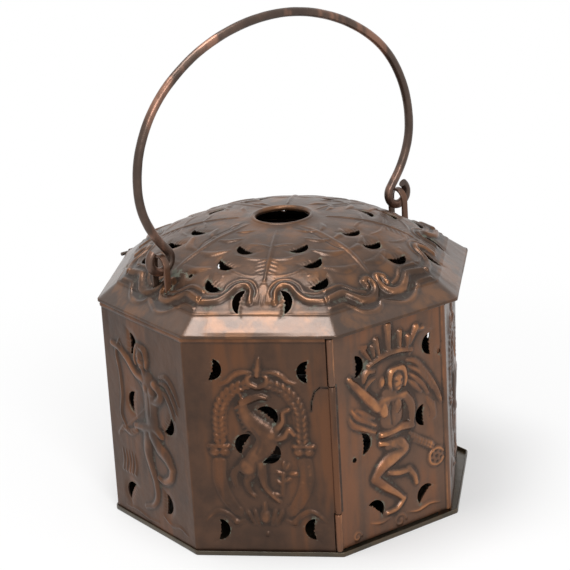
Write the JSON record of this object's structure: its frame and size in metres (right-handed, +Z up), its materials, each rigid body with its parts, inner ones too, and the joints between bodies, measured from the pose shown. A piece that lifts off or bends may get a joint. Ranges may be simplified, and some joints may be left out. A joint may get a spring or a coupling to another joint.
{
  "type": "foot warmer",
  "caption": "Octagonal embossed copper foot warmer with pierced walls, side door, hinged domed lid, swing bail and an ember pan inside.",
  "frame": {"origin": "on the underside of the base tray, under the middle of the lid, so on the surface the warmer stands on", "axes": "+Z up, +X along the bail's pivots from the left eye to the right one, the door faces -Y and the lid hinge is at +Y"},
  "size_m": [0.207, 0.2113, 0.2896],
  "materials": {
    "case_copper": "old patinated copper sheet, dark brown with warmer rubbed relief and grey-green verdigris in the recesses",
    "door_copper": "old patinated copper sheet, dark brown with warmer rubbed relief and grey-green verdigris in the recesses",
    "lid_copper": "old patinated copper sheet, dark brown with warmer rubbed relief and grey-green verdigris in the recesses",
    "tray_copper": "old patinated copper sheet, dark olive brown, rubbed bright along the rim",
    "bail_wire": "drawn copper wire with a smooth dark brown patina, bare pinkish spots where the loops close",
    "staple_copper": "hammered copper strap with a dark patina",
    "hinge_wire": "drawn copper wire, dark and dull",
    "pan_iron": "sooty wrought sheet iron, brown-black, dull",
    "rivet_iron": "hammered iron rivet heads, dull"
  },
  "bodies": {
    "root": {"wall_sheet": "case_copper", "base_tray": "tray_copper", "door_hinge_pin": "hinge_wire", "lid_hinge_pin": "hinge_wire", "ember_pan": "pan_iron", "ember_pan_handle": "pan_iron", "ember_pan_rivets": "rivet_iron", "ember_pan_feet": "pan_iron"},
    "door": {"door": "door_copper"},
    "lid": {"lid_shell": "lid_copper", "eye_staple_left": "staple_copper", "eye_staple_right": "staple_copper"},
    "bail": {"bail_handle": "bail_wire"}
  },
  "joints": [
    {"name": "door_hinge", "type": "hinge", "parent": "root", "child": "door", "pos_m": [-0.04412, -0.09807, 0.0669], "axis": [0, 0, -1], "range_deg": [0, 200]},
    {"name": "lid_hinge", "type": "hinge", "parent": "root", "child": "lid", "pos_m": [0, 0.10578, 0.13082], "axis": [-1, 0, 0], "range_deg": [0, 110]},
    {"name": "bail_swing", "type": "hinge", "parent": "lid", "child": "bail", "pos_m": [0, 0, 0.15553], "axis": [1, 0, 0], "range_deg": [-90, 90]}
  ]
}
